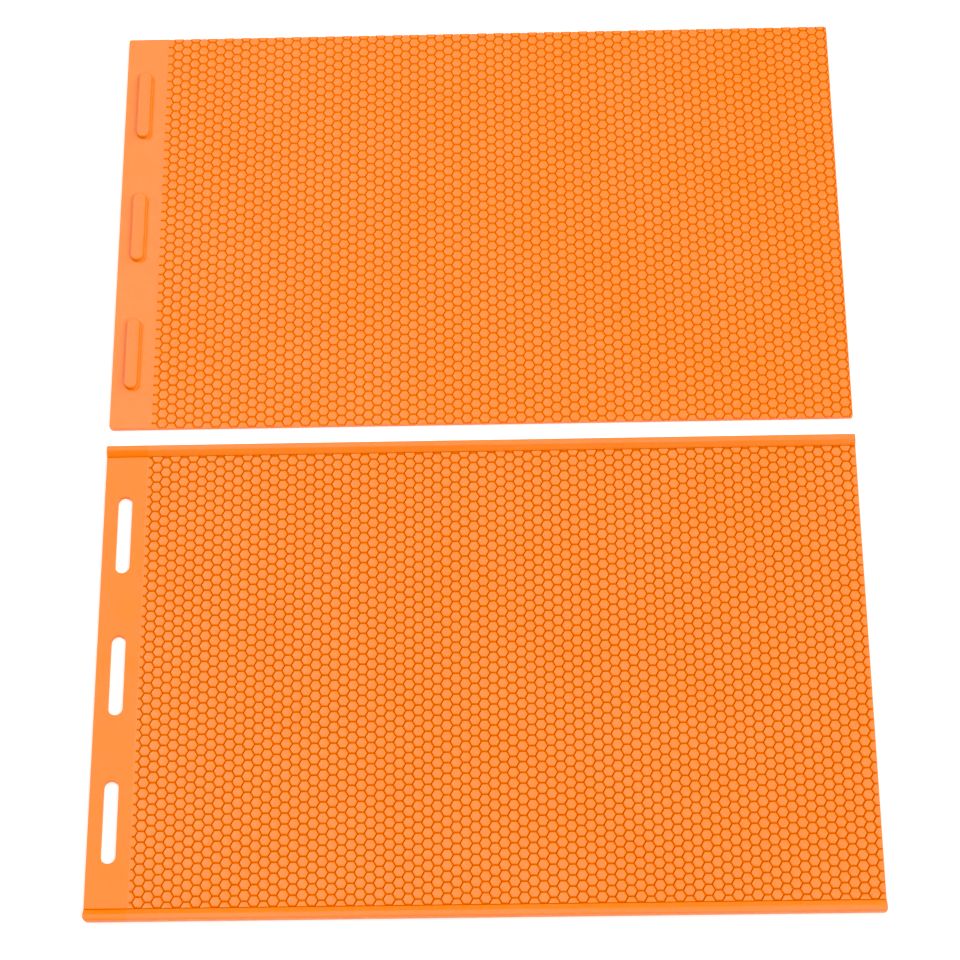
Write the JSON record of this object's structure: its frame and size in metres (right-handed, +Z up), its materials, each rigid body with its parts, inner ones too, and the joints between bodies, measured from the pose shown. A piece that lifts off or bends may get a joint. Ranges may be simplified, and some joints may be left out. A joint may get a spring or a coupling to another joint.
{
  "type": "foundation press mould",
  "caption": "Flexible silicone beekeeping mould of two hex-celled sheets, one keyed and one slotted and railed, that fold face to face to emboss beeswax comb foundation.",
  "frame": {"origin": "centre of the open pair of sheets, on the surface they lie on", "axes": "+X along the sheets and away from the margin with the keys and slots, +Y from the slotted sheet to the keyed sheet, +Z up out of the embossed faces"},
  "size_m": [0.387, 0.4928, 0.0056],
  "materials": {
    "orange_silicone": "satin"
  },
  "bodies": {
    "slotted_sheet": {"slotted_sheet": "orange_silicone"},
    "keyed_sheet": {"keyed_sheet": "orange_silicone"}
  },
  "joints": [
    {"name": "sheet_fold", "type": "hinge", "parent": "slotted_sheet", "child": "keyed_sheet", "pos_m": [0, 0.0032, 0.00305], "axis": [1, 0, 0], "range_deg": [0, 180]}
  ]
}
